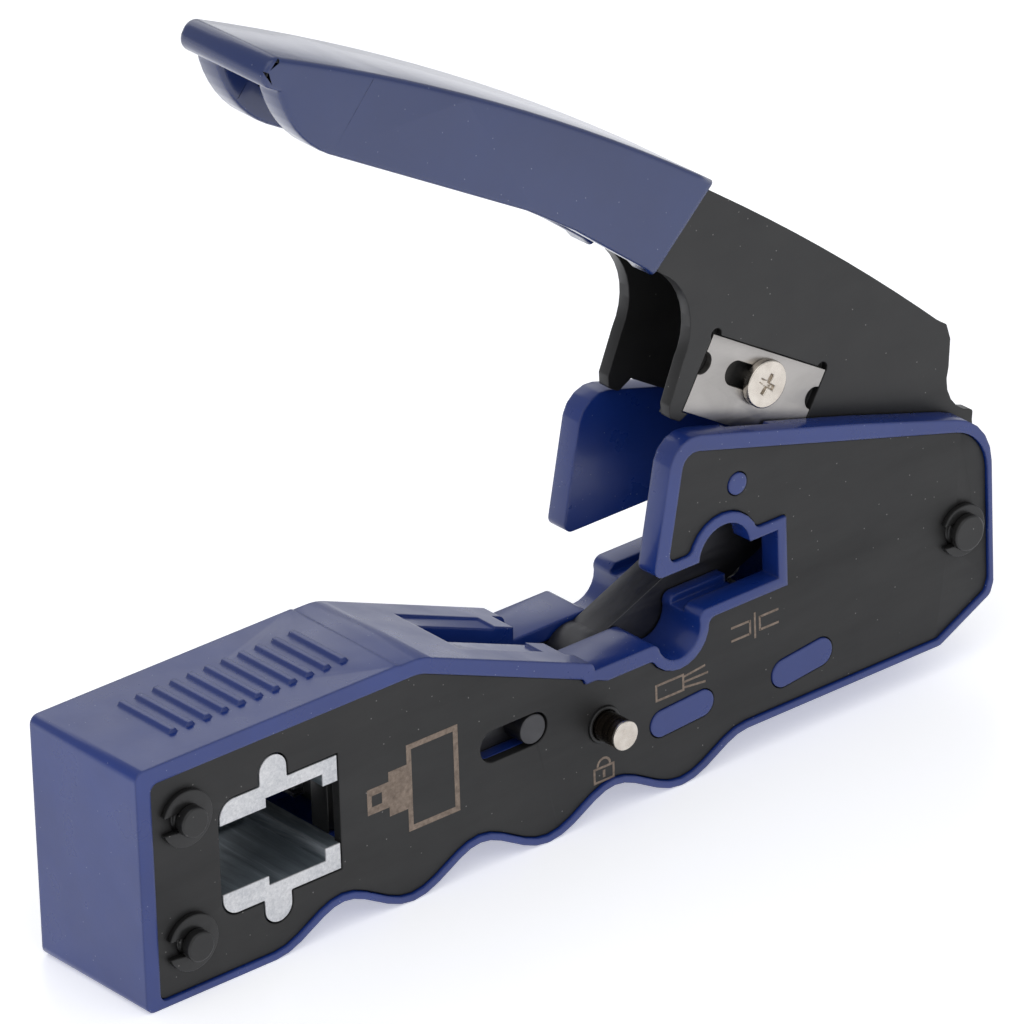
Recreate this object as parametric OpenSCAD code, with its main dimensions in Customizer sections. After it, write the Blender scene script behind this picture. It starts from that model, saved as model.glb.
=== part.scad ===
// Compact pass-through crimping tool for 8-position modular plugs.
//
// X runs along the body from the die end to the pivot end, Y through its thickness and Z up.
// The origin is on the bottom face, in the middle of the foot under the die.
// The handle is drawn closed and then swung open about the pivot to its rest position.

/* [Body] */
// Length of the flat foot under the die
foot_l = 20; // [16:1:26]
// Height of the side plates over the die
block_h = 29.4; // [29:0.2:34]
// Length of the plate's level top edge
block_top_l = 41.3; // [38:0.5:44]
// Distance from the plate's left edge to the handle pivot
pivot_reach = 129.4; // [126:0.2:140]
// Thickness over the two side plates
plates_t = 19.6; // [19.6:0.2:24]
// Width of the moulded rim round each plate
rim_w = 2.2; // [1.6:0.1:2.6]
// Width of the rim under the plates and at the pivot end
base_w = 1; // [0.8:0.1:1.4]
// How far the rim stands proud of the plates
rim_proud = 0.4; // [0.2:0.1:0.8]
// Width of the lip round the strip and cut notches
lip_w = 1.5; // [1:0.1:1.8]
// Depth of the finger scallops
scallop_h = 4; // [2:0.5:5]
// Distance between scallop crests
scallop_pitch = 21.6; // [20:0.2:22.4]

/* [Side plates] */
// Thickness of each steel side plate
plate_t = 1.4; // [1:0.1:1.5]
// Gap between a plate and the rim round it
plate_gap = 0.12; // [0.05:0.01:0.25]

/* [Plug die] */
// Width of the plug nest
nest_w = 11.95; // [11.8:0.05:12.2]
// Depth of the plug nest, from the latch side to the ram's neck
nest_d = 8.8; // [8:0.1:9.4]
// Height of the ram's line of travel above the bottom edge of the plates
ram_z = 15.2; // [14.8:0.1:16.4]
// Width of the neck that the punches pass through
neck_w = 8.6; // [8:0.1:9]

/* [Mechanism] */
// Width of the ram between its guides
ram_w = 13; // [12:0.1:13.4]
// Distance from the toggle pin on the handle back to the pivot
crank_back = 18.9; // [18.4:0.1:19.4]
// Height of that pin above the pivot with the handle open
crank_up = 11.5; // [11:0.1:12]
// Distance from the ram's toggle pin to the pivot with the handle open
knuckle_reach = 53.9; // [53.2:0.1:54.6]
// Thickness of one toggle lamination
lamination_t = 1.8; // [1.5:0.1:1.9]
// Number of laminations in the toggle link
lamination_count = 3; // [2:1:3]
// Diameter of the frame pins and the ram's cross pin
pin_d = 4; // [3.2:0.1:4.4]
// Diameter of the handle's pivot pin
pivot_d = 4.8; // [4:0.1:5.4]
// Radial running clearance of pins in their holes
run_gap = 0.05; // [0.02:0.01:0.1]

/* [Handle] */
// Angle that the handle swings through from open to closed
swing = 31.5; // [28:0.5:31.5]
// Length of the handle from its pivot to its free end
handle_l = 139.2; // [130:0.2:150]
// Outside width of the pressed steel channel
channel_w = 13.4; // [12.4:0.1:13.6]
// Thickness of the channel's sheet
sheet_t = 1.8; // [1.2:0.1:2]
// Thickness of the dipped grip
grip_t = 1.3; // [0.8:0.1:1.5]
// Length of the handle that the grip covers
grip_l = 76; // [60:1:78]

/* [Blade] */
// Length of the cutting and stripping blade
blade_l = 21; // [19:0.5:22]
// Height of the blade
blade_h = 10.2; // [9:0.1:10.6]
// Thickness of the blade
blade_t = 1; // [0.8:0.1:1.2]

/* [Lock] */
// Travel of the lock pin
lock_travel = 2.2; // [1.5:0.1:2.3]
// Diameter of the lock pin
lock_d = 3.9; // [3.4:0.1:4.2]

/* [Hidden] */
$fn = 48;
eps = 0.01;

// Datum lines of the side plate, measured from the middle of the foot
plate_x = 1.5 - foot_l / 2;
plate_z = base_w;
plate_out = plates_t / 2;
plate_in = plate_out - plate_t;
rim_out = plate_out + rim_proud;
wall_in = channel_w / 2 + 0.3;

// Handle pivot
pivot_x = plate_x + pivot_reach;
pivot_z = plate_z + 18;

// Die nest
nest_x = plate_x + 17.4;
axis_z = plate_z + ram_z;
die_gap = 0.25;
opening_x0 = plate_x + 10.1;
opening_x1 = nest_x + nest_d + 2.5;
opening_h = nest_w + 4.05;
latch_w = nest_w - 2.5;
ear_r = 2.3;
ear_x = nest_x + 1.3;
ear_out = 9.3;
die_body_x0 = opening_x0 - 2.4;
die_body_x1 = opening_x1 + 0.2;
die_body_h = opening_h + 4.4;
die_far_y = 6.5;

// Ram and toggle
knuckle_x = pivot_x - knuckle_reach;
knuckle_z = axis_z;
knuckle_r = 4.3;
crank_x = pivot_x - crank_back;
crank_z = pivot_z + crank_up;
crank_r = norm([crank_back, crank_up]);
crank_angle = atan2(crank_up, -crank_back);
link_dx = crank_x - knuckle_x;
link_dz = crank_z - knuckle_z;
link_l = norm([link_dx, link_dz]);
link_angle = atan2(link_dz, link_dx);
closed_crank_x = pivot_x + crank_r * cos(crank_angle + swing);
closed_crank_z = pivot_z + crank_r * sin(crank_angle + swing);
closed_rise = closed_crank_z - knuckle_z;
ram_travel = knuckle_x - (closed_crank_x - sqrt(link_l * link_l - closed_rise * closed_rise));
link_w = lamination_t * lamination_count;
link_slot = link_w / 2 + 0.2;
ram_half = ram_w / 2;
ram_z0 = axis_z - 6;
ram_z1 = axis_z + 5;
ram_gap = 0.12;
ram_x0 = die_body_x1 + ram_travel + 0.25;
nose_x0 = nest_x + nest_d + ram_travel + 0.35;
nose_h = neck_w - 0.3;
fork_h = 2.6;
cross_pin_x = knuckle_x - 16.3;
ram_low_x = cross_pin_x + 3;
tail_x = cross_pin_x + 5.5;
tail_half = 5;

// Punches
punch_h = nose_h - 0.6;
strain_tip_x = nest_x + nest_d + 2.6;
contact_tip_x = strain_tip_x + 2.3;
trim_edge_x = nest_x + nest_d + 0.3;
trim_t = 0.9;
trim_x1 = trim_edge_x + 22;
trim_z0 = axis_z - 4.9;
trim_z1 = axis_z + 4.9;
trim_y = ram_half + 0.05;
trim_screw_x = [trim_edge_x + 12.5, trim_edge_x + 18.5];

// Strip and cut notches
strip_x = pivot_x - 46.8;
flat_z = plate_z + 17.7 + rim_w;
strip_r = 3.5;
jaw_z = plate_z + 21.9;
cut_x = pivot_x - 39.1;
cut_r = 4.2;
cut_end_x = pivot_x - 30.4;
cut_top_z = plate_z + 28.7;
slit_in = channel_w / 2 - sheet_t - 0.4;
slit_x = strip_x + strip_r - 0.3;
core_end_x = pivot_x - 34.4;
floor_z = plate_z + 6;

// Handle, in its closed position
channel_in = channel_w / 2 - sheet_t;
tip_x = pivot_x - handle_l;
web_peak_x = pivot_x - 89;
web_peak_z = pivot_z + 31.2;
web_r = 370;
web_end_x = pivot_x - 13.6;
belly_z = pivot_z + 22;
grip_end_x = tip_x + grip_l;
toe_x = pivot_x - 54.2;
toe_z = flat_z + 0.15;
throat_r = 9.5;
edge_z = jaw_z + 0.15;
heel_r = 5.8;

// Blade, in its closed position
blade_x = toe_x + 2.5;
blade_z = jaw_z - 0.5;
blade_y = -channel_w / 2;
screw_x = blade_x + 11.1;
screw_z = blade_z + 6.4;
screw_swing_r = norm([pivot_x - screw_x, screw_z - pivot_z]);
screw_d = 3;
screw_head_d = 6.3;
screw_head_h = 1.1;
pocket_gap = 0.15;

// Lock
lock_x = pivot_x - 59;
lock_z = plate_z + 11.8;
lock_tip_r = 1.25;
lock_r = lock_d / 2;
lock_bush_r = lock_r + 0.5;
lock_collar_h = 0.35;
lock_clip_r = 3;
lock_clip_t = 0.8;
lock_clip_y = 0.05 - plate_in;
lock_rest_y = -tail_half - 0.25;

// Frame pins at the die end
frame_pin_x = plate_x + 5;
frame_pin_z = [plate_z + 6.4, plate_z + 23.3];

// Return spring under the toggle link
spring_x = core_end_x + 3.4;
spring_r = 2.2;
spring_wire = 1;
spring_turns = 5;
spring_z = floor_z - 1.5;
spring_h = link_under(spring_x) - spring_z - 0.3;

function arc(cx, cz, r, a0, a1, n = 12) =
    [for (i = [0:n]) [cx + r * cos(a0 + (a1 - a0) * i / n), cz + r * sin(a0 + (a1 - a0) * i / n)]];
function sagged(peak_x, peak_z, r, x) = peak_z - (x - peak_x) * (x - peak_x) / (2 * r);
function link_under(x) = knuckle_z + (x - knuckle_x) * tan(link_angle) - 3.6 / cos(link_angle);

// A profile drawn in X and Z, given thickness from y0 to y1
module slab(y0, y1) {
    translate([0, y1, 0]) rotate([90, 0, 0]) linear_extrude(y1 - y0) children();
}

// A round bar or bore along Y
module bar(x, z, r, y0, y1) {
    translate([x, y1, z]) rotate([90, 0, 0]) cylinder(h = y1 - y0, r = r);
}

module round_corners(r) {
    offset(r = r, $fn = 24) offset(delta = -r) children();
}

module both_sides() {
    children();
    mirror([0, 1, 0]) children();
}

// Turns what is drawn closed to the open rest position
module opened() {
    translate([pivot_x, 0, pivot_z]) rotate([0, swing, 0]) translate([-pivot_x, 0, -pivot_z]) children();
}

// ---- outlines of the body ----

function scallop_z(x, x0) = scallop_h * (1 - cos(360 * (x - x0) / scallop_pitch)) / 2;

scallop_x = plate_x + 17.6;
scallop_end_x = scallop_x + 3.5 * scallop_pitch;
top_end_x = plate_x + block_top_l;
slope_end_x = pivot_x - 58.5;
head_x = pivot_x - 47.7;
link_slot_x = pivot_x - 78.4;
slope_angle = atan2(block_h - 17.7, slope_end_x - top_end_x);
function slope_z(x) = plate_z + 17.7 + (slope_end_x - x) * tan(slope_angle) + rim_w / cos(slope_angle);
right_x = pivot_x + 4.4;

// Side plate before the notches are cut
module plate_blank() {
    bottom = [for (x = [scallop_x:scallop_pitch / 12:scallop_end_x + eps]) [x, plate_z + scallop_z(x, scallop_x)]];
    tail_z = plate_z + scallop_h;
    head_top_z = plate_z + 44.9;
    polygon(concat(
        [[plate_x, plate_z]],
        bottom,
        [[right_x - 8.6, tail_z], [right_x - 0.6, tail_z + 4], [right_x, tail_z + 5.6]],
        arc(right_x - 7, pivot_z + 7, 7, 0, 74.6, 8),
        arc(head_x + 4.2, head_top_z - 3, 2, 74.6, 164, 4),
        [[head_x - 2.8, plate_z + 19], [head_x - 2.8, plate_z + 17.7], [slope_end_x, plate_z + 17.7]],
        arc(top_end_x - 1, plate_z + block_h - 6, 6, 68, 90, 4),
        [[plate_x, plate_z + block_h]]));
}

// Everything that the strip and cut notches take away, with the round lobe that only the near side has
module notches(lobe) {
    translate([strip_x, flat_z + 0.2]) circle(strip_r);
    translate([slope_end_x - 2, flat_z]) square([strip_x - slope_end_x + 2, cut_top_z - flat_z]);
    translate([strip_x - 1, jaw_z]) square([cut_end_x - strip_x + 1, cut_top_z - jaw_z]);
    if (lobe) cut_lobe();
}

module cut_lobe() {
    translate([cut_x, plate_z + 28.3]) circle(cut_r);
}

// Limit of the body at the pivot end, rounded over the pivot
module end_limit() {
    r = 8;
    x = right_x + base_w - 0.2 - r;
    hull() {
        for (end = [[-60, -20], [x, -20], [x, pivot_z + 7.9], [x - 145, pivot_z + 53]])
            translate(end) circle(r);
    }
}

module housing_outline() {
    round_corners(1.2) difference() {
        intersection() {
            union() {
                offset(delta = base_w) plate_blank();
                intersection() {
                    offset(delta = rim_w) plate_blank();
                    translate([plate_x - 10, plate_z + 9]) square([200, 100]);
                }
                translate([plate_x - rim_w - 0.1, 0]) square([foot_l / 2, plate_z + block_h]);
                translate([plate_x - rim_w - 0.1, plate_z + block_h / 2])
                    square([block_top_l, block_h / 2 + rim_w + 0.2]);
            }
            translate([plate_x - 10, 0]) square([200, 100]);
            end_limit();
        }
        notches(false);
    }
}

module plate_outline(lobe) {
    round_corners(1) difference() {
        plate_blank();
        offset(delta = lip_w) notches(lobe);
    }
}

module oblong(x0, z0, x1, z1, r) {
    hull() {
        translate([x0, z0]) circle(r);
        translate([x1, z1]) circle(r);
    }
}

// Moulded pegs that the plates fit over
module pegs(gap) {
    translate([pivot_x - 36.5, plate_z + 37.1]) circle(1.5 + gap);
    oblong(pivot_x - 49.7, plate_z + 8.5, pivot_x - 43.1, plate_z + 8.9, 1.85 + gap);
    oblong(pivot_x - 29.7, plate_z + 8.3, pivot_x - 23.6, plate_z + 9, 1.95 + gap);
}

// Opening in each plate for the die, or with a negative gap the face of the die itself
module die_window(gap) {
    offset(r = gap) union() {
        translate([opening_x0, axis_z - opening_h / 2]) hull() {
            translate([2.5, 2.5]) circle(2.5);
            translate([2.5, opening_h - 2.5]) circle(2.5);
            translate([opening_x1 - opening_x0 - 1, 0]) square([1, opening_h]);
        }
        for (side = [-1, 1]) hull() {
            translate([ear_x, axis_z + side * ear_out]) circle(ear_r);
            translate([ear_x, axis_z]) circle(ear_r);
        }
    }
}

// Stepped hollow that holds a plug: latch at the left, body in the middle, punches at the right
module nest() {
    translate([opening_x0 - 1.2, axis_z - latch_w / 2]) square([nest_x - opening_x0 + 1.3, latch_w]);
    translate([nest_x, axis_z - nest_w / 2]) square([nest_d, nest_w]);
    translate([nest_x + nest_d - eps, axis_z - neck_w / 2]) square([6, neck_w]);
}

// ---- body ----

module top_ribs() {
    rib_pitch = 2.63;
    for (i = [0:10]) translate([plate_x + 7.7 + i * rib_pitch, 0, plate_z + block_h + rim_w - 0.4])
        rotate([90, 0, 0]) translate([0, 0, -5]) linear_extrude(10)
            polygon([[-0.95, -0.2], [0.95, -0.2], [0.75, 0.5], [0.35, 1.1], [-0.35, 1.1], [-0.75, 0.5]]);
}

// Space between the two walls of the head, where the handle works
module head_gap() {
    slab(-wall_in, wall_in) polygon([
        [slope_end_x - 4, flat_z], [slit_x, flat_z], [slit_x, jaw_z], [core_end_x, jaw_z],
        [core_end_x, floor_z], [right_x + 10, floor_z], [right_x + 10, plate_z + 60],
        [slope_end_x - 4, plate_z + 60]]);
    for (y0 = [-wall_in, slit_in]) translate([0, y0, 0])
        translate([slit_x, 0, blade_z - 0.6]) cube([core_end_x - slit_x + 1, wall_in - slit_in, 4]);
}

// Channel for the ram, and the slot in which the toggle link works
module ram_channel() {
    half = ram_half + ram_gap;
    channel_x0 = die_body_x1 - 1;
    channel_z0 = ram_z0 - ram_gap;
    translate([channel_x0, -half, channel_z0])
        cube([ram_low_x + 0.2 - channel_x0, 2 * half, ram_z1 + ram_gap - channel_z0]);
    translate([ram_low_x - 1, -half, channel_z0])
        cube([tail_x + 1.2 - ram_low_x, 2 * half, knuckle_z + fork_h + ram_gap - channel_z0]);
    translate([tail_x, -tail_half - ram_gap, channel_z0]) cube([knuckle_x + fork_h + 1.2 - tail_x,
        2 * (tail_half + ram_gap), knuckle_z + fork_h + ram_gap - channel_z0]);
    translate([link_slot_x, -link_slot, channel_z0]) cube([core_end_x + 1 - link_slot_x, 2 * link_slot, 40]);
    // Space for the strain punch on the near side of the ram
    translate([channel_x0, -plate_in, axis_z - nose_h / 2 - 0.2])
        cube([punch_x1 + 0.3 - channel_x0, plate_in, nose_h + 0.4]);
    // Space for the trim blade on the far side of the ram
    translate([opening_x0 + 2, 0, trim_z0 - 0.2])
        cube([trim_x1 + 0.3 - opening_x0 - 2, plate_in, trim_z1 - trim_z0 + 0.4]);
}

module housing() {
    cross_half = pin_d / 2 + run_gap + 0.15;
    color([0.17, 0.24, 0.55]) {
        difference() {
            union() {
                slab(-rim_out, rim_out) housing_outline();
                top_ribs();
            }
            slab(-rim_out - 1, -plate_in) offset(delta = plate_gap) plate_outline(true);
            slab(plate_in, rim_out + 1) offset(delta = plate_gap) plate_outline(false);
            slab(-rim_out - 1, 0) cut_lobe();
            // Arc that clears the head of the blade screw, open at the top of the head
            translate([pivot_x, -wall_in + 1, pivot_z]) rotate([90, 0, 0]) rotate([0, 0, 128])
                rotate_extrude(angle = 45) translate([screw_swing_r - screw_head_d / 2 - 0.35, 0])
                    square([screw_head_d + 0.7, channel_w / 2 + screw_head_h + 0.2 - wall_in + 1]);
            head_gap();
            ram_channel();
            slab(-plate_in - 1, plate_in + 1)
                translate([die_body_x0 - 0.1, axis_z - die_body_h / 2 - 0.1])
                    square([die_body_x1 - die_body_x0 + 0.35, die_body_h + 0.2]);
            slab(-plate_in - 1, plate_in + 1) oblong(cross_pin_x - ram_travel - 0.3, axis_z,
                cross_pin_x + 0.1, axis_z, cross_half);
            for (z = frame_pin_z) bar(frame_pin_x, z, pin_d / 2 + run_gap, -rim_out, rim_out);
            bar(pivot_x, pivot_z, pivot_d / 2 + run_gap, -rim_out, rim_out);
            bar(lock_x, lock_z, lock_clip_r + 0.4, -rim_out, lock_clip_y + lock_clip_t + lock_travel + 0.1);
            bar(lock_x, lock_z, lock_r + 0.2, -rim_out, 0);
            translate([spring_x, 0, spring_z]) cylinder(h = 20, r = spring_r + 0.9);
            // Shallow recess in the slope beside the link slot
            translate([link_slot_x, 0, slope_z(link_slot_x)]) rotate([0, slope_angle, 0])
                translate([0, 0.8 - wall_in, -0.3]) cube([14, 2 * wall_in - 1.6, 5]);
        }
        both_sides() slab(-plate_out - 0.1, -plate_in + 0.1) pegs(-0.05);
    }
}

module side_plate(lobe) {
    slot_r = pin_d / 2 + run_gap + 0.15;
    difference() {
        slab(-plate_out, -plate_in) difference() {
            plate_outline(lobe);
            pegs(0.1);
        }
        slab(-plate_out - 1, -plate_in + 1)
            oblong(cross_pin_x - ram_travel - 0.3, axis_z, cross_pin_x + 0.1, axis_z, slot_r);
        for (z = frame_pin_z) bar(frame_pin_x, z, pin_d / 2 + run_gap, -rim_out, -plate_in + 1);
        bar(pivot_x, pivot_z, pivot_d / 2 + run_gap, -rim_out, -plate_in + 1);
    }
}

module front_plate() {
    color([0.13, 0.13, 0.14]) difference() {
        side_plate(true);
        slab(-plate_out - 1, -plate_in + 1) die_window(0);
        bar(lock_x, lock_z, lock_bush_r, -rim_out, -plate_in + 1);
    }
}

module rear_plate() {
    color([0.13, 0.13, 0.14]) difference() {
        mirror([0, 1, 0]) side_plate(false);
        slab(plate_in - 1, plate_out + 1) translate([nest_x, axis_z - nest_w / 2])
            round_corners(1) square([nest_d + 1.5, nest_w]);
    }
}

module die_block() {
    color([0.82, 0.83, 0.85]) {
        difference() {
            union() {
                slab(-plate_out, -plate_in + eps) die_window(-die_gap);
                slab(-plate_in, die_far_y)
                    translate([die_body_x0, axis_z - die_body_h / 2])
                        square([die_body_x1 - die_body_x0, die_body_h]);
            }
            slab(-plate_out - 1, plate_out) nest();
            // The face is open to the left of the latch
            slab(-plate_out - 1, -plate_in) translate([opening_x0 - 3, axis_z - latch_w / 2])
                square([5, latch_w]);
            // The trim blade crosses the far end
            slab(trim_y - 0.3, plate_out) translate([opening_x0 + 2, trim_z0 - 0.2])
                square([30, trim_z1 - trim_z0 + 0.4]);
        }
        // Lip that stops the front of the plug
        slab(die_far_y - 1, die_far_y - 0.3) difference() {
            translate([nest_x - 0.5, axis_z - nest_w / 2 - 0.5]) square([nest_d, nest_w + 1]);
            translate([nest_x + 0.9, axis_z - nest_w / 2 + 1]) square([nest_d, nest_w - 2]);
        }
    }
}

// ---- ram and punches ----

dowel_r = 1.2;
dowel_x = ram_x0 + 7.5;
punch_x1 = ram_x0 + 10;
contact_y0 = 2.2;
contact_y1 = 4.8;
strain_y0 = -8.1;
strain_y1 = -4;

module ram() {
    lock_bore_r = lock_tip_r + 0.15;
    color([0.2, 0.2, 0.22]) difference() {
        slab(-ram_half, ram_half) polygon([
            [ram_x0, axis_z + nose_h / 2], [nose_x0, axis_z + nose_h / 2],
            [nose_x0, axis_z - nose_h / 2], [ram_x0, axis_z - nose_h / 2], [ram_x0, ram_z0], [knuckle_x + fork_h, ram_z0],
            [knuckle_x + fork_h, knuckle_z + fork_h], [ram_low_x, knuckle_z + fork_h],
            [ram_low_x, ram_z1], [ram_x0, ram_z1]]);
        both_sides() translate([tail_x, -ram_half - 1, ram_z0 - 1])
            cube([20, ram_half + 1 - tail_half, ram_z1 - ram_z0 + 2]);
        // Fork for the knuckle of the toggle link
        slab(-link_slot, link_slot) translate([knuckle_x - knuckle_r - 1.2, ram_z0 - 1]) square([20, 20]);
        // Slots that hold the punches
        translate([nose_x0 - 1, contact_y0, axis_z - punch_h / 2])
            cube([punch_x1 - nose_x0 + 1, contact_y1 - contact_y0, punch_h]);
        translate([nose_x0 - 1, -ram_half - 1, axis_z - nose_h / 2 - eps])
            cube([punch_x1 - nose_x0 + 1, strain_y1 + ram_half + 1, nose_h + 2 * eps]);
        for (z = [axis_z - 2, axis_z + 2]) bar(dowel_x, z, dowel_r, -ram_half - 1, contact_y1 + 1);
        bar(cross_pin_x, axis_z, pin_d / 2, -ram_half - 1, ram_half + 1);
        bar(knuckle_x, knuckle_z, knuckle_pin_r, -tail_half - 1, tail_half + 1);
        bar(lock_x, lock_z, lock_bore_r, -ram_half - 1, -link_slot + 1);
        bar(lock_x + ram_travel, lock_z, lock_bore_r, -ram_half - 1, -link_slot + 1);
        for (x = trim_screw_x) bar(x, axis_z, 0.95, ram_half - 1.55, ram_half + 1);
    }
}

knuckle_pin_r = 1.6;

// Blunt blade that clamps the cable jacket
module strain_punch() {
    color([0.55, 0.56, 0.58]) difference() {
        slab(strain_y0, strain_y1) translate([strain_tip_x, axis_z - nose_h / 2])
            square([punch_x1 - strain_tip_x, nose_h]);
        for (z = [axis_z - 2, axis_z + 2]) bar(dowel_x, z, dowel_r, strain_y0 - 1, strain_y1 + 1);
        translate([strain_tip_x - 1, strain_y0 - 1, axis_z - 10]) rotate([0, 0, -30]) cube([1.8, 3, 20]);
    }
}

// Eight teeth, one over each contact
module contact_punch() {
    tooth_pitch = 1.02;
    tooth_w = 0.5;
    tooth_l = 2;
    color([0.6, 0.61, 0.63]) {
        difference() {
            slab(contact_y0, contact_y1) translate([contact_tip_x + tooth_l, axis_z - punch_h / 2])
                square([punch_x1 - contact_tip_x - tooth_l, punch_h]);
            for (z = [axis_z - 2, axis_z + 2]) bar(dowel_x, z, dowel_r, contact_y0 - 1, contact_y1 + 1);
        }
        for (i = [-3.5:3.5]) translate([contact_tip_x, contact_y0, axis_z + i * tooth_pitch - tooth_w / 2])
            cube([tooth_l + eps, contact_y1 - contact_y0, tooth_w]);
    }
}

module punch_dowels() {
    color([0.5, 0.5, 0.52]) for (z = [axis_z - 2, axis_z + 2])
        bar(dowel_x, z, dowel_r, strain_y0 + 0.3, contact_y1 + 1);
}

// Cuts the wires flush where they leave the front of the plug
module wire_trim_blade() {
    color([0.72, 0.72, 0.73]) difference() {
        slab(trim_y, trim_y + trim_t) translate([trim_edge_x + 3, trim_z0])
            square([trim_x1 - trim_edge_x - 3, trim_z1 - trim_z0]);
        for (x = trim_screw_x) bar(x, axis_z, 1.1, trim_y - 1, trim_y + 2);
    }
    color([0.78, 0.78, 0.79]) translate([0, 0, trim_z0]) linear_extrude(trim_z1 - trim_z0)
        polygon([[trim_edge_x, trim_y], [trim_edge_x + 3 + eps, trim_y],
            [trim_edge_x + 3 + eps, trim_y + trim_t]]);
}

module trim_blade_screws() {
    head_y = trim_y + trim_t;
    color([0.5, 0.5, 0.52]) for (x = trim_screw_x) difference() {
        union() {
            bar(x, axis_z, 0.95, ram_half - 1.5, head_y + 0.1);
            bar(x, axis_z, 1.9, head_y, head_y + 0.6);
        }
        translate([x - 2, head_y + 0.35, axis_z - 0.25]) cube([4, 1, 0.5]);
    }
}

module ram_cross_pin() {
    color([0.3, 0.3, 0.31]) bar(cross_pin_x, axis_z, pin_d / 2, -plate_out, plate_out);
}

// ---- toggle ----

crank_pin_r = 2.25;
link_slack = 1.25;
link_lift = 0.21;
link_eye_r = 3.9;

// One lamination, drawn level with its knuckle at the origin
module lamination() {
    difference() {
        union() {
            circle(knuckle_r);
            hull() {
                circle(3.6);
                translate([link_l, 0]) circle(link_eye_r);
            }
        }
        circle(knuckle_pin_r + run_gap);
        oblong(link_l - link_slack, link_lift, link_l, link_lift, crank_pin_r + link_lift + 0.1);
    }
}

module toggle_link() {
    color([0.16, 0.16, 0.17]) for (i = [0:lamination_count - 1])
        slab(-link_w / 2 + i * lamination_t, -link_w / 2 + (i + 1) * lamination_t - eps)
            translate([knuckle_x, knuckle_z]) rotate(link_angle) lamination();
}

module toggle_front_pin() {
    color([0.45, 0.45, 0.47]) bar(knuckle_x, knuckle_z, knuckle_pin_r, -tail_half, tail_half);
}

module toggle_rear_pin() {
    color([0.45, 0.45, 0.47]) bar(crank_x, crank_z, crank_pin_r, -channel_w / 2, channel_w / 2);
}

// Keep the link central between the handle's cheeks
module toggle_spacers() {
    color([0.62, 0.6, 0.52]) both_sides() difference() {
        bar(crank_x, crank_z, crank_pin_r + 1.2, -channel_in, -link_w / 2 - 0.15);
        bar(crank_x, crank_z, crank_pin_r, -channel_in - 1, 0);
    }
}

module return_spring() {
    color([0.7, 0.7, 0.72]) translate([spring_x, 0, spring_z]) {
        linear_extrude(spring_h, twist = -360 * spring_turns, slices = 16 * spring_turns, convexity = 10)
            translate([spring_r - spring_wire / 2, 0]) circle(d = spring_wire, $fn = 8);
    }
}

// ---- handle ----

// Everything under the curved top line of the web, lowered by drop
module under_web(drop) {
    step = (web_end_x - tip_x) / 24;
    polygon(concat(
        [for (i = [0:24]) let(x = tip_x + i * step) [x, sagged(web_peak_x, web_peak_z - drop, web_r, x)]],
        [[web_end_x, pivot_z - 20], [tip_x, pivot_z - 20]]));
}

// Side view of the steel channel
module handle_outline() {
    throat_x = toe_x - throat_r - 0.8;
    throat_z = pivot_z + 9.2;
    eye_x = closed_crank_x;
    eye_z = closed_crank_z;
    round_corners(0.5) intersection() {
        union() {
            under_web(0);
            translate([web_end_x - 1, pivot_z - 20]) square([40, 43.7]);
        }
        polygon(concat(
            // Free end, belly and throat
            [[tip_x, pivot_z + 26.5]],
            arc(tip_x + 13.8, belly_z + 13.8, 14.4, 220, 270, 8),
            [[grip_end_x - 27.8, belly_z + 0.3], [grip_end_x - 18.8, belly_z - 0.2], [grip_end_x - 4.8, belly_z - 2]],
            arc(throat_x, throat_z, throat_r, 90, 0, 10),
            // Toe
            [[toe_x, toe_z + 1.4], [toe_x + 0.9, toe_z], [toe_x + 2.7, toe_z], [toe_x + 3.9, edge_z]],
            // Under the blade, round the toggle pin and round the pivot
            [[blade_x + blade_l + 0.3, edge_z]],
            arc(eye_x, eye_z, 4.6, 170, 270, 8),
            arc(pivot_x, pivot_z, heel_r, 270, 385, 12),
            [[pivot_x - 2.2, pivot_z + 13.3]],
            // Notched back edge
            arc(pivot_x - 4.6, pivot_z + 19.6, 5.4, 290, 190, 6),
            [[pivot_x - 11.6, pivot_z + 22.1], [web_end_x, pivot_z + 24], [web_end_x - 2, pivot_z + 60],
                [tip_x, pivot_z + 60]]));
    }
}

module handle_void() {
    slab(-channel_in, channel_in) {
        under_web(sheet_t);
        translate([web_end_x - 0.1, pivot_z - 20]) square([40, 60]);
    }
}

// Pocket pressed inward for the blade, its pads standing inside the cheek
module blade_pocket(gap) {
    offset(delta = gap) translate([blade_x, blade_z]) square([blade_l, blade_h]);
}

module handle_frame() {
    color([0.14, 0.14, 0.15]) opened() difference() {
        union() {
            difference() {
                slab(-channel_w / 2, channel_w / 2) handle_outline();
                handle_void();
            }
            slab(-channel_in - eps, -channel_in + 0.8) intersection() {
                handle_outline();
                blade_pocket(1.2);
            }
        }
        slab(blade_y - 1, blade_y + blade_t) {
            blade_pocket(pocket_gap);
            for (x = [blade_x + 0.4, blade_x + blade_l - 0.7]) translate([x, blade_z + blade_h]) circle(0.9);
        }
        bar(screw_x, screw_z, screw_d / 2, -channel_w / 2 - 1, 0);
        bar(closed_crank_x, closed_crank_z, crank_pin_r, -channel_w, channel_w);
        bar(pivot_x, pivot_z, pivot_d / 2 + run_gap, -channel_w, channel_w);
        // Dimple pressed in the web
        translate([tip_x + 14, 0, web_peak_z - 0.2]) sphere(2.4);
    }
}

module grip_zone() {
    translate([tip_x - 20, pivot_z - 20]) polygon([[0, 0], [grip_end_x + 5.9 - tip_x, 0],
        [grip_end_x + 22.4 - tip_x, 60], [0, 60]]);
}

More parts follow.
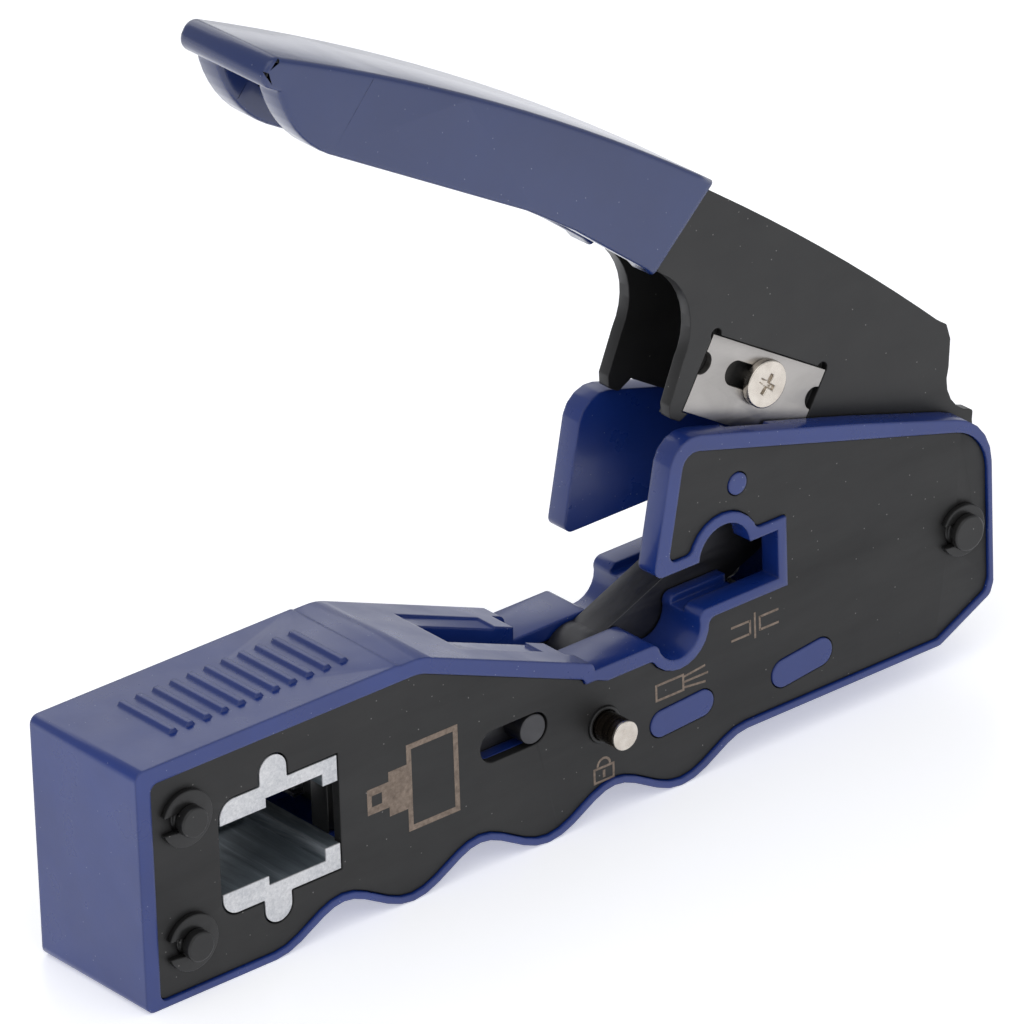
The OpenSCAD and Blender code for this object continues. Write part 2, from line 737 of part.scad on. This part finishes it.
module handle_grip() {
    color([0.18, 0.27, 0.55]) opened() difference() {
        slab(-channel_w / 2 - grip_t, channel_w / 2 + grip_t) intersection() {
            round_corners(0.6) offset(r = grip_t) handle_outline();
            grip_zone();
        }
        difference() {
            slab(-channel_w / 2, channel_w / 2) handle_outline();
            handle_void();
        }
        slab(-channel_in + grip_t, channel_in - grip_t) intersection() {
            translate([-grip_t * 2, 0]) under_web(sheet_t + grip_t);
            grip_zone();
        }
    }
}

module strip_blade() {
    slot_r = screw_d / 2 + 0.15;
    half_round = 1.5;
    color([0.78, 0.76, 0.74]) opened() difference() {
        union() {
            slab(blade_y, blade_y + blade_t) translate([blade_x, blade_z + 1])
                square([blade_l, blade_h - 1]);
            translate([blade_x, 0, 0]) rotate([90, 0, 90]) linear_extrude(blade_l)
                polygon([[blade_y, blade_z + 1 + eps], [blade_y, blade_z], [blade_y + 0.2, blade_z],
                    [blade_y + blade_t, blade_z + 1 + eps]]);
        }
        for (x = [blade_x, blade_x + blade_l])
            bar(x, screw_z, half_round, blade_y - 1, blade_y + blade_t + 1);
        slab(blade_y - 1, blade_y + blade_t + 1) oblong(screw_x - 5, screw_z, screw_x, screw_z, slot_r);
    }
}

module blade_screw() {
    shank_end = -channel_in + 2.2;
    head_y = blade_y - screw_head_h;
    color([0.85, 0.82, 0.78]) opened() difference() {
        union() {
            bar(screw_x, screw_z, screw_d / 2, blade_y - eps, shank_end);
            bar(screw_x, screw_z, screw_head_d / 2, head_y, blade_y);
        }
        for (turn = [0, 90]) translate([screw_x, head_y, screw_z]) rotate([0, turn + 10, 0])
            cube([2.8, 1.4, 0.6], center = true);
    }
}

// ---- pins ----

module pivot_pin() {
    color([0.12, 0.12, 0.13]) difference() {
        bar(pivot_x, pivot_z, pivot_d / 2, -plate_out - 2, plate_out + 2);
        both_sides() difference() {
            bar(pivot_x, pivot_z, pivot_d, -plate_out - 0.9, -plate_out);
            bar(pivot_x, pivot_z, pivot_d / 2 - 0.5, -plate_out - 1, -plate_out + 1);
        }
    }
}

// Keeps the handle central on its pivot
module pivot_sleeve() {
    half = channel_in - 0.15;
    color([0.62, 0.6, 0.52]) difference() {
        bar(pivot_x, pivot_z, pivot_d / 2 + 1.3, -half, half);
        bar(pivot_x, pivot_z, pivot_d / 2 + run_gap, -half - 1, half + 1);
    }
}

// Retaining clip with three prongs, snapped into the groove of a pin
module snap_clip(x, z, groove_r, outer_r, y0) {
    slab(y0, y0 + 0.8) translate([x, z]) difference() {
        circle(outer_r);
        circle(groove_r);
        translate([-outer_r - 1, -groove_r * 0.8]) square([outer_r + 1, groove_r * 1.6]);
    }
}

module pivot_clips() {
    color([0.12, 0.12, 0.13]) both_sides()
        snap_clip(pivot_x, pivot_z, pivot_d / 2 - 0.5, pivot_d / 2 + 1.1, -plate_out - 0.85);
}

module frame_pins() {
    color([0.12, 0.12, 0.13]) for (z = frame_pin_z) difference() {
        bar(frame_pin_x, z, pin_d / 2, -plate_out - 2.3, plate_out + 2.3);
        both_sides() difference() {
            bar(frame_pin_x, z, pin_d, -plate_out - 0.9, -plate_out);
            bar(frame_pin_x, z, pin_d / 2 - 0.5, -plate_out - 1, -plate_out + 1);
        }
    }
}

module frame_pin_clips() {
    color([0.12, 0.12, 0.13]) both_sides() for (z = frame_pin_z)
        snap_clip(frame_pin_x, z, pin_d / 2 - 0.5, pin_d / 2 + 1.75, -plate_out - 0.85);
}

// ---- lock ----

module lock_pin() {
    shoulder_y = lock_clip_y + lock_clip_t;
    color([0.8, 0.78, 0.74]) {
        bar(lock_x, lock_z, lock_r, -plate_out - lock_collar_h - lock_travel - 1.7, lock_clip_y);
        bar(lock_x, lock_z, lock_r - 0.4, lock_clip_y - eps, shoulder_y + eps);
        bar(lock_x, lock_z, lock_tip_r, shoulder_y, lock_rest_y);
    }
}

// Flanged bush pressed in the front plate
module lock_bush() {
    color([0.1, 0.1, 0.1]) difference() {
        bar(lock_x, lock_z, lock_bush_r, -plate_out - lock_collar_h, -plate_in);
        bar(lock_x, lock_z, lock_r + run_gap, -plate_out - 3, 0);
    }
}

// Ring that stops the lock pin from coming out
module lock_ring() {
    color([0.3, 0.3, 0.31]) difference() {
        bar(lock_x, lock_z, lock_clip_r, lock_clip_y, lock_clip_y + lock_clip_t);
        bar(lock_x, lock_z, lock_r - 0.4, -plate_in - 1, 0);
    }
}

housing();
front_plate();
rear_plate();
die_block();
ram();
strain_punch();
contact_punch();
punch_dowels();
wire_trim_blade();
trim_blade_screws();
ram_cross_pin();
toggle_link();
toggle_front_pin();
toggle_rear_pin();
toggle_spacers();
handle_frame();
handle_grip();
strip_blade();
blade_screw();
pivot_pin();
pivot_sleeve();
pivot_clips();
frame_pins();
frame_pin_clips();
lock_pin();
lock_bush();
lock_ring();
return_spring();
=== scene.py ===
import math

import bmesh
import bpy
from mathutils import Matrix, Vector


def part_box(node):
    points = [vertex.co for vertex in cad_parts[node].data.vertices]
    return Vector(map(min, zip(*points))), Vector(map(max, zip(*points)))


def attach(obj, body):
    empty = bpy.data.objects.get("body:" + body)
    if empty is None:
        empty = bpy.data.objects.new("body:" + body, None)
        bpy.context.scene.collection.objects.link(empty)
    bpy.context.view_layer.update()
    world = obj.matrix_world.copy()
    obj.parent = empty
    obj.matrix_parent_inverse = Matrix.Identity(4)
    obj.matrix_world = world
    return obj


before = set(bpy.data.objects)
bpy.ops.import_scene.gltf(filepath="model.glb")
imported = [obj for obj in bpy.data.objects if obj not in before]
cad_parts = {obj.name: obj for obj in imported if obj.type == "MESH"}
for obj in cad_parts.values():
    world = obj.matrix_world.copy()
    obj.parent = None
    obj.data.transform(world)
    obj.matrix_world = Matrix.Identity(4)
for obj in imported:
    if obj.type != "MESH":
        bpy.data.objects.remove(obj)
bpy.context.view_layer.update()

MM = 0.001

# Datum lines of the tool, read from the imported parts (metres)
plate_x, front_y, plate_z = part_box("front_plate")[0]
house_lo, house_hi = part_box("housing")
lock_front_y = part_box("lock_pin")[0][1]


# ---------------------------------------------------------------- shader building blocks

def new_material(name, color, rough, metallic=0.0, coat=0.0, coat_rough=0.05, ior=1.5, spec=0.5):
    mat = bpy.data.materials.new(name)
    mat.use_nodes = True
    tree = mat.node_tree
    bsdf = tree.nodes["Principled BSDF"]
    bsdf.inputs["Base Color"].default_value = (*color, 1)
    bsdf.inputs["Roughness"].default_value = rough
    bsdf.inputs["Metallic"].default_value = metallic
    bsdf.inputs["Coat Weight"].default_value = coat
    bsdf.inputs["Coat Roughness"].default_value = coat_rough
    bsdf.inputs["IOR"].default_value = ior
    bsdf.inputs["Specular IOR Level"].default_value = spec
    return mat, tree, bsdf


def coords(tree, scale=(1, 1, 1), offset=(0, 0, 0)):
    """Object coordinates in metres, scaled and shifted."""
    tex = tree.nodes.new("ShaderNodeTexCoord")
    mapping = tree.nodes.new("ShaderNodeMapping")
    mapping.inputs["Location"].default_value = offset
    mapping.inputs["Scale"].default_value = scale
    tree.links.new(tex.outputs["Object"], mapping.inputs["Vector"])
    return mapping.outputs["Vector"]


def noise(tree, vector, scale, detail=4, rough=0.5, distortion=0.0):
    node = tree.nodes.new("ShaderNodeTexNoise")
    node.inputs["Scale"].default_value = scale
    node.inputs["Detail"].default_value = detail
    node.inputs["Roughness"].default_value = rough
    node.inputs["Distortion"].default_value = distortion
    tree.links.new(vector, node.inputs["Vector"])
    return node.outputs["Fac"]


def ramp(tree, fac, stops):
    """A pattern turned into a colour. Each stop is a position and a colour."""
    node = tree.nodes.new("ShaderNodeValToRGB")
    elements = node.color_ramp.elements
    while len(elements) < len(stops):
        elements.new(0.5)
    for element, (position, color) in zip(elements, stops):
        element.position = position
        element.color = (*color, 1)
    tree.links.new(fac, node.inputs["Fac"])
    return node.outputs["Color"]


def mix(tree, fac, a, b):
    """Colour a where fac is 0 and b where it is 1. Each argument is a value or another node's output."""
    node = tree.nodes.new("ShaderNodeMix")
    node.data_type = "RGBA"
    for value, socket in ((fac, node.inputs[0]), (a, node.inputs[6]), (b, node.inputs[7])):
        if isinstance(value, bpy.types.NodeSocket):
            tree.links.new(value, socket)
        elif isinstance(value, tuple):
            socket.default_value = (*value, 1)
        else:
            socket.default_value = value
    return node.outputs[2]


def set_color(tree, bsdf, color):
    tree.links.new(color, bsdf.inputs["Base Color"])


def set_roughness(tree, bsdf, pattern, low, high, top=0.7):
    """Roughness that goes from low to high while a pattern goes from 0.3 to top."""
    tree.links.new(ramp(tree, pattern, [(0.3, (low,) * 3), (top, (high,) * 3)]), bsdf.inputs["Roughness"])


def bump(tree, bsdf, height, strength, distance, edge=0.0):
    """Surface relief, with distance in metres, over edges rounded by a radius in millimetres."""
    node = tree.nodes.new("ShaderNodeBump")
    if edge:
        rounded = tree.nodes.new("ShaderNodeBevel")
        rounded.samples = 6
        rounded.inputs["Radius"].default_value = edge * MM
        tree.links.new(rounded.outputs["Normal"], node.inputs["Normal"])
    node.inputs["Strength"].default_value = strength
    node.inputs["Distance"].default_value = distance
    tree.links.new(height, node.inputs["Height"])
    tree.links.new(node.outputs["Normal"], bsdf.inputs["Normal"])


def specks(tree, scale, size, seed):
    """Sparse round dots, as dust: 1 on a dot, 0 elsewhere."""
    cells = tree.nodes.new("ShaderNodeTexVoronoi")
    cells.inputs["Scale"].default_value = scale
    tree.links.new(coords(tree, offset=(seed, seed * 1.7, seed * 0.6)), cells.inputs["Vector"])
    near = tree.nodes.new("ShaderNodeMath")
    near.operation = "LESS_THAN"
    near.inputs[1].default_value = size
    tree.links.new(cells.outputs["Distance"], near.inputs[0])
    return near.outputs[0]


def behind(tree, start):
    """0 in front of the plane Y = start (metres), fading to 1 just behind it: the mask for painted shade."""
    fade = 0.15 * MM
    axes = tree.nodes.new("ShaderNodeSeparateXYZ")
    tree.links.new(coords(tree), axes.inputs[0])
    step = tree.nodes.new("ShaderNodeMapRange")
    step.inputs["From Min"].default_value = start
    step.inputs["From Max"].default_value = start + fade
    tree.links.new(axes.outputs["Y"], step.inputs["Value"])
    return step.outputs["Result"]


# ---------------------------------------------------------------- materials

def moulded_blue():
    mat, tree, bsdf = new_material("moulded_blue", (0.010, 0.034, 0.18), 0.3, coat=0.25, coat_rough=0.12)
    vec = coords(tree)
    blue = ramp(tree, noise(tree, vec, 60, 5, 0.6), [(0.3, (0.005, 0.022, 0.15)), (0.7, (0.007, 0.03, 0.19))])
    set_color(tree, bsdf, mix(tree, specks(tree, 700, 0.05, 3.1), blue, (0.16, 0.19, 0.32)))
    set_roughness(tree, bsdf, noise(tree, vec, 180), 0.25, 0.38, top=0.75)
    bump(tree, bsdf, noise(tree, vec, 1500, 3, 0.6), 0.06, 0.12 * MM, edge=0.5)
    return mat


def dipped_vinyl():
    mat, tree, bsdf = new_material("dipped_vinyl", (0.022, 0.037, 0.125), 0.22,
                                   coat=0.45, coat_rough=0.1, ior=1.52)
    vec = coords(tree)
    blue = ramp(tree, noise(tree, vec, 45), [(0.3, (0.005, 0.018, 0.095)), (0.72, (0.008, 0.026, 0.125))])
    set_color(tree, bsdf, mix(tree, specks(tree, 650, 0.045, 1.3), blue, (0.16, 0.19, 0.3)))
    bump(tree, bsdf, noise(tree, vec, 120, 3), 0.08, 0.6 * MM, edge=0.9)
    return mat


def painted_black(name, shade, rough, seed):
    mat, tree, bsdf = new_material(name, (shade,) * 3, rough, metallic=0.15, spec=0.45)
    vec = coords(tree)
    low, high = shade * 0.8, shade * 1.35
    black = ramp(tree, noise(tree, vec, 70, 5, 0.6),
                 [(0.3, (low, low, low * 1.03)), (0.72, (high, high * 0.99, high * 0.96))])
    set_color(tree, bsdf, mix(tree, specks(tree, 620, 0.055, seed), black, (0.16, 0.155, 0.15)))
    streaks = noise(tree, coords(tree, (40, 260, 260)), 1.0, 6, 0.65)
    set_roughness(tree, bsdf, streaks, rough - 0.07, rough + 0.09, top=0.75)
    bump(tree, bsdf, noise(tree, vec, 2200, 2), 0.08, 0.08 * MM, edge=0.25)
    return mat


def brushed(name, color, rough, direction=(30, 400, 400), stain=0.35):
    """Ground metal: fine lines along the axis that has the smallest scale, and darker stains."""
    mat, tree, bsdf = new_material(name, color, rough, metallic=1.0)
    lines = noise(tree, coords(tree, direction), 4.0, 8, 0.7)
    stains = noise(tree, coords(tree), 110, 4, 0.55, 0.6)
    stained = ramp(tree, stains, [(0.35, tuple(c * (1 - stain) for c in color)), (0.62, color)])
    lined = ramp(tree, lines, [(0.3, tuple(c * 0.82 for c in color)), (0.7, color)])
    set_color(tree, bsdf, mix(tree, 0.5, stained, lined))
    set_roughness(tree, bsdf, lines, rough - 0.08, rough + 0.12)
    bump(tree, bsdf, lines, 0.15, 0.04 * MM)
    return mat


def cast_zinc():
    """Sandy light grey face with darker pits, and painted shade on the nest walls behind the face: dark,
    streaked along their depth.
    """
    mat, tree, bsdf = new_material("cast_zinc", (0.6, 0.61, 0.63), 0.5, metallic=0.55)
    vec = coords(tree)
    fine = noise(tree, vec, 2600, 4, 0.75)
    broad = noise(tree, vec, 260, 5, 0.6)
    sand = ramp(tree, fine,
                [(0.33, (0.45, 0.46, 0.48)), (0.6, (0.72, 0.72, 0.73)), (0.72, (0.86, 0.86, 0.86))])
    pits = ramp(tree, broad, [(0.35, (0.38, 0.4, 0.43)), (0.65, (0.74, 0.74, 0.74))])
    streaks = noise(tree, coords(tree, (320, 25, 320)), 1.0, 6, 0.65, 0.4)
    painted_shade_wall = ramp(tree, streaks,
                [(0.3, (0.045, 0.058, 0.068)), (0.55, (0.13, 0.155, 0.175)), (0.72, (0.34, 0.37, 0.4))])
    face = mix(tree, 0.35, sand, pits)
    # Painted shade: the nest walls behind the die's face are coloured dark, standing in for the shade inside
    # the nest.
    set_color(tree, bsdf, mix(tree, behind(tree, front_y + 0.1 * MM), face, painted_shade_wall))
    set_roughness(tree, bsdf, broad, 0.36, 0.58)
    bump(tree, bsdf, fine, 0.35, 0.08 * MM)
    return mat


def nickel(name, bright_to=None):
    """Warm nickel. With bright_to, it gets painted shade behind that Y: near black, with rings."""
    mat, tree, bsdf = new_material(name, (0.76, 0.69, 0.6), 0.2, metallic=1.0)
    vec = coords(tree)
    color = ramp(tree, noise(tree, vec, 500, 5), [(0.3, (0.54, 0.49, 0.43)), (0.7, (0.7, 0.65, 0.58))])
    if bright_to is not None:
        # Painted shade: behind bright_to the pin is coloured near black, with rings across its length.
        rings = noise(tree, coords(tree, (60, 1500, 60)), 1.0, 4, 0.6)
        painted_shade = ramp(tree, rings, [(0.35, (0.02, 0.017, 0.014)), (0.65, (0.14, 0.11, 0.085))])
        color = mix(tree, behind(tree, bright_to), color, painted_shade)
    set_color(tree, bsdf, color)
    set_roughness(tree, bsdf, noise(tree, vec, 900), 0.17, 0.32)
    bump(tree, bsdf, noise(tree, vec, 1400, 3), 0.08, 0.04 * MM)
    return mat


def laser_mark():
    mat, tree, bsdf = new_material("laser_mark", (0.17, 0.13, 0.1), 0.6, metallic=0.2)
    mottle = noise(tree, coords(tree), 1500, 4, 0.7)
    set_color(tree, bsdf, ramp(tree, mottle, [(0.3, (0.12, 0.088, 0.066)), (0.7, (0.26, 0.2, 0.155))]))
    return mat


def floor_white():
    mat, tree, bsdf = new_material("floor_white", (0.93, 0.935, 0.95), 0.32, spec=0.35)
    tone = noise(tree, coords(tree), 8, 3)
    set_color(tree, bsdf, ramp(tree, tone, [(0.3, (0.92, 0.925, 0.94)), (0.7, (0.95, 0.955, 0.97))]))
    bsdf.inputs["Emission Color"].default_value = (0.97, 0.975, 1, 1)
    bsdf.inputs["Emission Strength"].default_value = 0.42
    return mat


MATERIALS = {
    "housing": moulded_blue(),
    "grip": dipped_vinyl(),
    "plate": painted_black("plate_black", 0.012, 0.5, 0.7),
    "handle": painted_black("handle_black", 0.014, 0.36, 2.2),
    "pin": painted_black("pin_black", 0.012, 0.34, 4.0),
    "die": cast_zinc(),
    "blade": brushed("blade_steel", (0.46, 0.44, 0.42), 0.36, (60, 400, 900), 0.3),
    "bright": brushed("bright_steel", (0.62, 0.62, 0.63), 0.3),
    "dark": brushed("dark_steel", (0.1, 0.1, 0.105), 0.42, stain=0.4),
    "bronze": brushed("bronze", (0.2, 0.125, 0.07), 0.35, (300, 60, 300), 0.4),
    "nickel": nickel("warm_nickel"),
    "lock": nickel("lock_pin_steel", lock_front_y + 0.3 * MM),
    "spring": brushed("spring_steel", (0.5, 0.5, 0.51), 0.3),
}

# The material of each CAD node, and the bevel on its edges in millimetres
LOOKS = {
    "housing": ("housing", 0.45),
    "front_plate": ("plate", 0.14),
    "rear_plate": ("plate", 0.14),
    "die_block": ("die", 0.12),
    "ram": ("dark", 0.2),
    "strain_punch": ("pin", 0.1),
    "contact_punch": ("bright", 0.04),
    "punch_dowels": ("bright", 0.1),
    "wire_trim_blade": ("blade", 0.03),
    "trim_blade_screws": ("pin", 0.08),
    "ram_cross_pin": ("dark", 0.2),
    "toggle_link": ("dark", 0.2),
    "toggle_front_pin": ("dark", 0.2),
    "toggle_rear_pin": ("dark", 0.2),
    "toggle_spacers": ("bronze", 0.15),
    "handle_frame": ("handle", 0.35),
    "handle_grip": ("grip", 0.6),
    "strip_blade": ("blade", 0.06),
    "blade_screw": ("nickel", 0.18),
    "pivot_pin": ("pin", 0.3),
    "pivot_sleeve": ("bronze", 0.15),
    "pivot_clips": ("pin", 0.12),
    "frame_pins": ("pin", 0.3),
    "frame_pin_clips": ("pin", 0.12),
    "lock_pin": ("lock", 0.25),
    "lock_bush": ("pin", 0.12),
    "lock_ring": ("dark", 0.06),
    "return_spring": ("spring", 0),
}

# Nodes whose bevel isn't held back by short edges
WIDE_BEVEL = ("handle_grip",)


# ---------------------------------------------------------------- edges and shading of the CAD nodes

def shading_group():
    """Geometry nodes: smooth shading that breaks at sharp edges and stays flat on the planar faces."""
    sharp_angle = math.radians(40)
    along_axis = 0.99998
    large_face = 150 * MM * MM

    group = bpy.data.node_groups.new("shade", "GeometryNodeTree")
    group.interface.new_socket("Geometry", in_out="INPUT", socket_type="NodeSocketGeometry")
    group.interface.new_socket("Geometry", in_out="OUTPUT", socket_type="NodeSocketGeometry")

    def add(kind, **values):
        node = group.nodes.new(kind)
        for key, value in values.items():
            setattr(node, key, value)
        return node

    def math_node(operation, a, b=None):
        node = add("ShaderNodeMath", operation=operation)
        for value, socket in zip((a, b), node.inputs):
            if isinstance(value, float):
                socket.default_value = value
            elif value is not None:
                group.links.new(value, socket)
        return node.outputs[0]

    angle = add("GeometryNodeInputMeshEdgeAngle").outputs["Unsigned Angle"]
    sharp = math_node("GREATER_THAN", angle, sharp_angle)
    axes = add("ShaderNodeSeparateXYZ")
    group.links.new(add("GeometryNodeInputNormal").outputs["Normal"], axes.inputs[0])
    x, y, z = (math_node("ABSOLUTE", axis) for axis in axes.outputs)
    square = math_node("GREATER_THAN", math_node("MAXIMUM", x, math_node("MAXIMUM", y, z)), along_axis)
    large = math_node("GREATER_THAN", add("GeometryNodeInputMeshFaceArea").outputs[0], large_face)
    planar = math_node("MAXIMUM", square, large)

    all_smooth = add("GeometryNodeSetShadeSmooth", domain="FACE")
    edges = add("GeometryNodeSetShadeSmooth", domain="EDGE")
    faces = add("GeometryNodeSetShadeSmooth", domain="FACE")
    edges.inputs["Shade Smooth"].default_value = False
    faces.inputs["Shade Smooth"].default_value = False
    group.links.new(sharp, edges.inputs["Selection"])
    group.links.new(planar, faces.inputs["Selection"])
    chain = [add("NodeGroupInput"), all_smooth, edges, faces, add("NodeGroupOutput")]
    for before, after in zip(chain, chain[1:]):
        group.links.new(before.outputs[0], after.inputs[0])
    return group


SHADE_GROUP = shading_group()


def add_bevel(obj, width, wide):
    """Rounds the edges. A wide bevel keeps the CAD's triangles, and the others join flat faces first."""
    if not wide:
        flat = obj.modifiers.new("flat", "DECIMATE")
        flat.decimate_type = "DISSOLVE"
        flat.angle_limit = math.radians(0.4)
    bevel = obj.modifiers.new("bevel", "BEVEL")
    bevel.width = width * MM
    bevel.segments = 3
    bevel.limit_method = "ANGLE"
    bevel.angle_limit = math.radians(30)
    bevel.use_clamp_overlap = not wide


def finish_node(name, material, bevel):
    """Gives a CAD node its material, and rounds and shades its edges with modifiers."""
    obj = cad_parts[name]
    obj.data.materials.clear()
    obj.data.materials.append(MATERIALS[material])
    for poly in obj.data.polygons:
        poly.use_smooth = True
    weld = obj.modifiers.new("weld", "WELD")
    weld.merge_threshold = 0.02 * MM
    if bevel > 0:
        add_bevel(obj, bevel, name in WIDE_BEVEL)
    obj.modifiers.new("shade", "NODES").node_group = SHADE_GROUP


for name, (material, bevel) in LOOKS.items():
    finish_node(name, material, bevel)


# ---------------------------------------------------------------- laser marks on the front plate
# Their places are in millimetres from the plate's lower corner at the die end.

MARK_LIFT = 0.012 * MM
LASER = laser_mark()


def mark_mesh(name, loops):
    """Flat shapes a hair in front of the plate. Each loop is a list of (x, z), drawn as one face."""
    bm = bmesh.new()
    for loop in loops:
        face = bm.faces.new([bm.verts.new((plate_x + x * MM, front_y - MARK_LIFT, plate_z + z * MM))
                             for x, z in loop])
        face.normal_update()
        if face.normal.y > 0:
            face.normal_flip()
    mesh = bpy.data.meshes.new(name)
    bm.to_mesh(mesh)
    bm.free()
    mesh.materials.append(LASER)
    obj = bpy.data.objects.new(name, mesh)
    bpy.context.scene.collection.objects.link(obj)
    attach(obj, "frame")


def rect(x0, z0, x1, z1):
    return [(x0, z0), (x1, z0), (x1, z1), (x0, z1)]


def stroke(x0, z0, x1, z1, w):
    """A straight line of width w."""
    length = math.hypot(x1 - x0, z1 - z0)
    side_x, side_z = (z0 - z1) / length * w / 2, (x1 - x0) / length * w / 2
    return [(x0 + side_x, z0 + side_z), (x0 - side_x, z0 - side_z),
            (x1 - side_x, z1 - side_z), (x1 + side_x, z1 + side_z)]


def half_ring(cx, cz, r, w, steps=14):
    """Four-sided faces along the upper half of a circle."""
    def point(radius, step):
        turn = math.pi * step / steps
        return cx + radius * math.cos(turn), cz + radius * math.sin(turn)

    inner, outer = r - w / 2, r + w / 2
    return [[point(inner, i), point(outer, i), point(outer, i + 1), point(inner, i + 1)]
            for i in range(steps)]


def border(x0, z0, x1, z1, w):
    """A rectangle's border, w wide and inside the rectangle."""
    return [rect(x0, z0, x1, z0 + w), rect(x0, z1 - w, x1, z1),
            rect(x0, z0 + w, x0 + w, z1 - w), rect(x1 - w, z0 + w, x1, z1 - w)]


def plug_mark(x, z):
    """A plug seen from its contact end, with its latch on the left. (x, z) is where the latch meets it."""
    base, arms, tip = x - 2.9, x - 5.6, x - 6.3
    return border(x, z - 6.25, x + 8.1, z + 5.65, 0.75) + [
        rect(base, z - 3.05, x, z + 3.05),
        rect(arms, z - 1.75, base, z - 0.75),
        rect(arms, z + 0.75, base, z + 1.75),
        rect(tip, z - 1.75, arms, z + 1.75),
        rect(base - 1.1, z - 0.75, base, z + 0.75),
    ]


def padlock_mark(x, z):
    """A padlock about (x, z): body, shackle and keyhole."""
    w = 0.32
    return (border(x - 1.7, z - 1.3, x + 1.7, z + 0.9, w) + half_ring(x, z + 0.95, 1.0, w)
            + [stroke(x, z - 0.7, x, z + 0.3, 0.4)])


def stripped_cable_mark(x, z):
    """A cable whose jacket ends at x + 0.3, with three wires that fan out of it."""
    jacket_end = x + 0.3
    wires = [stroke(jacket_end, z + k, x + 4.2 - abs(k) * 0.6, z + k * 1.5, 0.3) for k in (-0.75, 0.0, 0.75)]
    return border(x - 4.4, z - 1.2, jacket_end, z + 1.2, 0.32) + wires


def cut_cable_mark(x, z):
    """A cable in two halves, with the line of the cut between them."""
    w = 0.32
    marks = [stroke(x, z - 1.8, x, z + 1.8, 0.3)]
    for side in (-1, 1):
        marks += [stroke(x + side * 0.8, z + k, x + side * 3.9, z + k, w) for k in (-0.9, 0.9)]
        marks += [stroke(x + side * 0.8, z - 1.0, x + side * 0.8, z + 1.0, w)]
    return marks


mark_mesh("mark_plug", plug_mark(39.2, 14.65))
mark_mesh("mark_padlock", padlock_mark(70.2, 5.2))
mark_mesh("mark_stripped_cable", stripped_cable_mark(83.2, 12.9))
mark_mesh("mark_cut_cable", cut_cable_mark(95.2, 16.6))


# ---------------------------------------------------------------- floor, light and camera

def floor():
    half = 3.0
    mesh = bpy.data.meshes.new("floor")
    corners = [(x, y, 0) for x, y in ((-half, -half), (half, -half), (half, half), (-half, half))]
    mesh.from_pydata(corners, [], [(0, 1, 2, 3)])
    mesh.materials.append(floor_white())
    obj = bpy.data.objects.new("floor", mesh)
    obj.location.z = house_lo[2] - 0.05 * MM
    bpy.context.scene.collection.objects.link(obj)


def area_light(name, direction, distance, size, power):
    """A soft box that faces the middle of the tool from a direction."""
    light = bpy.data.lights.new(name, "AREA")
    light.shape = "RECTANGLE"
    light.size, light.size_y = size
    light.energy = power
    obj = bpy.data.objects.new(name, light)
    middle = Vector(((house_lo[0] + house_hi[0]) / 2, 0, 40 * MM))
    way = Vector(direction).normalized()
    obj.location = middle + way * distance
    obj.rotation_euler = way.to_track_quat("Z", "Y").to_euler()
    bpy.context.scene.collection.objects.link(obj)


def studio_world():
    world = bpy.data.worlds.new("studio")
    world.use_nodes = True
    background = world.node_tree.nodes["Background"]
    background.inputs["Color"].default_value = (0.96, 0.97, 1.0, 1)
    background.inputs["Strength"].default_value = 0.52
    bpy.context.scene.world = world


def camera(place, heading, tilt, roll, lens):
    """A camera at a place in metres. Heading is its direction about Z from +X, tilt is upward, in degrees."""
    data = bpy.data.cameras.new("camera")
    data.sensor_width = 36
    data.lens = lens
    data.clip_end = 10
    heading, tilt, roll = (math.radians(a) for a in (heading, tilt, roll))
    ahead = Vector((math.cos(tilt) * math.cos(heading), math.cos(tilt) * math.sin(heading), math.sin(tilt)))
    turned = ahead.to_track_quat("-Z", "Y").to_matrix().to_4x4() @ Matrix.Rotation(roll, 4, "Z")
    obj = bpy.data.objects.new("camera", data)
    obj.matrix_world = Matrix.Translation(place) @ turned
    bpy.context.scene.collection.objects.link(obj)
    bpy.context.scene.camera = obj


floor()
area_light("key_top", (-0.25, -0.35, 1.0), 0.9, (0.9, 0.9), 2.2)
area_light("side_left", (-1.0, -0.5, 0.5), 0.9, (0.7, 0.9), 1.1)
area_light("front_fill", (0.25, -1.0, 0.35), 1.0, (0.9, 0.7), 0.9)
area_light("back_rim", (0.4, 1.0, 0.6), 1.0, (0.8, 0.6), 1.2)
studio_world()
camera((-0.7273, -0.9634, 0.6732), heading=50.8687, tilt=-27.0012, roll=-1.9927, lens=401.115)
bpy.context.scene.view_settings.view_transform = "Standard"
